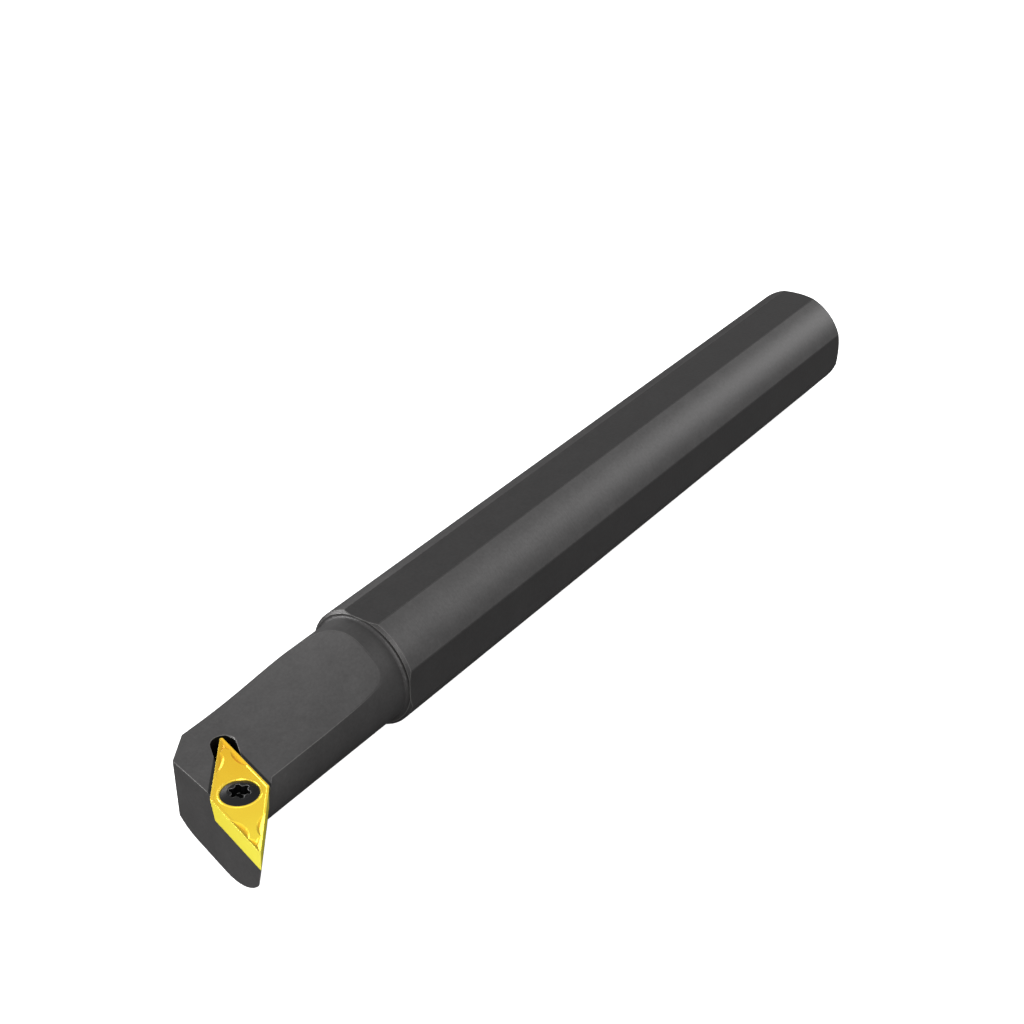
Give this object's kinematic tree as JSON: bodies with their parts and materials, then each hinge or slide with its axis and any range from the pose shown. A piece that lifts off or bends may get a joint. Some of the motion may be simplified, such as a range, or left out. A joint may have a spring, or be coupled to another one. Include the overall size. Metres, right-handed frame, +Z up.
{
  "type": "boring bar with an indexable insert",
  "caption": "Right hand boring bar: round steel shank with clamping flats, slimmer neck, offset head with a screwed-on rhombic insert that turns the inside of a bore",
  "frame": {"origin": "centre of the rear end face, on the axis of the shank", "axes": "+X along the shank to the cutting tip, +Y to the cutting side, +Z up, out of the insert's face"},
  "size_m": [0.143, 0.0215, 0.0156],
  "materials": {
    "blackened_steel": "black oxide, satin",
    "coated_carbide": "gold coloured nitride coating, satin",
    "black_screw": "black oxide, satin"
  },
  "bodies": {
    "root": {"bar_body": "blackened_steel", "cutting_insert": "coated_carbide", "clamp_screw": "black_screw"}
  },
  "joints": []
}
